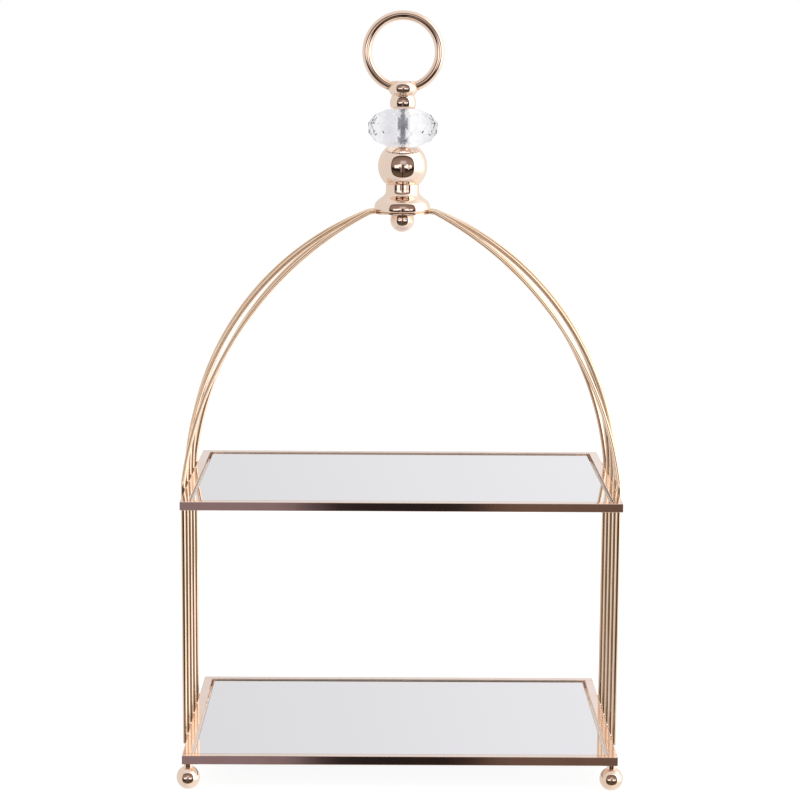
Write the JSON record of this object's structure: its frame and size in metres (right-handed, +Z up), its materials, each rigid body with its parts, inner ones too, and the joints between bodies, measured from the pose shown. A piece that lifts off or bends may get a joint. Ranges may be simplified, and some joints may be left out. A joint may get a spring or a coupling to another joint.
{
  "type": "tiered cake stand",
  "caption": "Tiered rectangular cake stand with mirror trays in slim polished bars, rods that lean into an arch, a turned finial with a cut crystal bead and carry ring, and ball feet.",
  "frame": {"origin": "middle of the stand on the surface that its four ball feet stand on", "axes": "+Z up to the carry ring, +X to the right along the long side of the trays, -Y to the front"},
  "size_m": [0.3082, 0.2082, 0.5318],
  "materials": {
    "frame_plating": "polished champagne-gold plating on square steel bar",
    "ledge_plating": "bright champagne-gold plating on flat strip",
    "rod_plating": "polished champagne-gold plating on round steel rod",
    "foot_plating": "mirror-polished champagne-gold plating",
    "finial_plating": "mirror-polished champagne-gold plating on turned metal",
    "ring_plating": "polished champagne-gold plating on bent wire",
    "mirror": "silvered float glass, painted back",
    "crystal": "clear cut crystal, polished facets",
    "stud_steel": "zinc-plated threaded rod"
  },
  "bodies": {
    "stand": {"lower_front_bar": "frame_plating", "lower_back_bar": "frame_plating", "lower_left_bar": "frame_plating", "lower_right_bar": "frame_plating", "lower_front_ledge": "ledge_plating", "lower_back_ledge": "ledge_plating", "lower_left_ledge": "ledge_plating", "lower_right_ledge": "ledge_plating", "upper_front_bar": "frame_plating", "upper_back_bar": "frame_plating", "upper_left_bar": "frame_plating", "upper_right_bar": "frame_plating", "upper_front_ledge": "ledge_plating", "upper_back_ledge": "ledge_plating", "upper_left_ledge": "ledge_plating", "upper_right_ledge": "ledge_plating", "left_rod_1": "rod_plating", "left_rod_2": "rod_plating", "left_rod_3": "rod_plating", "left_rod_4": "rod_plating", "left_rod_5": "rod_plating", "right_rod_1": "rod_plating", "right_rod_2": "rod_plating", "right_rod_3": "rod_plating", "right_rod_4": "rod_plating", "right_rod_5": "rod_plating", "foot_front_left": "foot_plating", "foot_stud_front_left": "stud_steel", "foot_front_right": "foot_plating", "foot_stud_front_right": "stud_steel", "foot_back_left": "foot_plating", "foot_stud_back_left": "stud_steel", "foot_back_right": "foot_plating", "foot_stud_back_right": "stud_steel", "dome_nut": "finial_plating", "crown_plate": "frame_plating", "finial_base": "finial_plating", "finial_ball": "finial_plating", "crystal_bead": "crystal", "ring_collar": "finial_plating", "carry_ring": "ring_plating", "finial_stud": "stud_steel"},
    "lower_mirror_plate": {"lower_mirror": "mirror"},
    "upper_mirror_plate": {"upper_mirror": "mirror"}
  },
  "joints": [
    {"name": "lower_mirror_lift", "type": "slide", "parent": "stand", "child": "lower_mirror_plate", "axis": [0, 0, 1], "range_m": [0, 0.06]},
    {"name": "upper_mirror_lift", "type": "slide", "parent": "stand", "child": "upper_mirror_plate", "axis": [0, 0, 1], "range_m": [0, 0.018]}
  ]
}
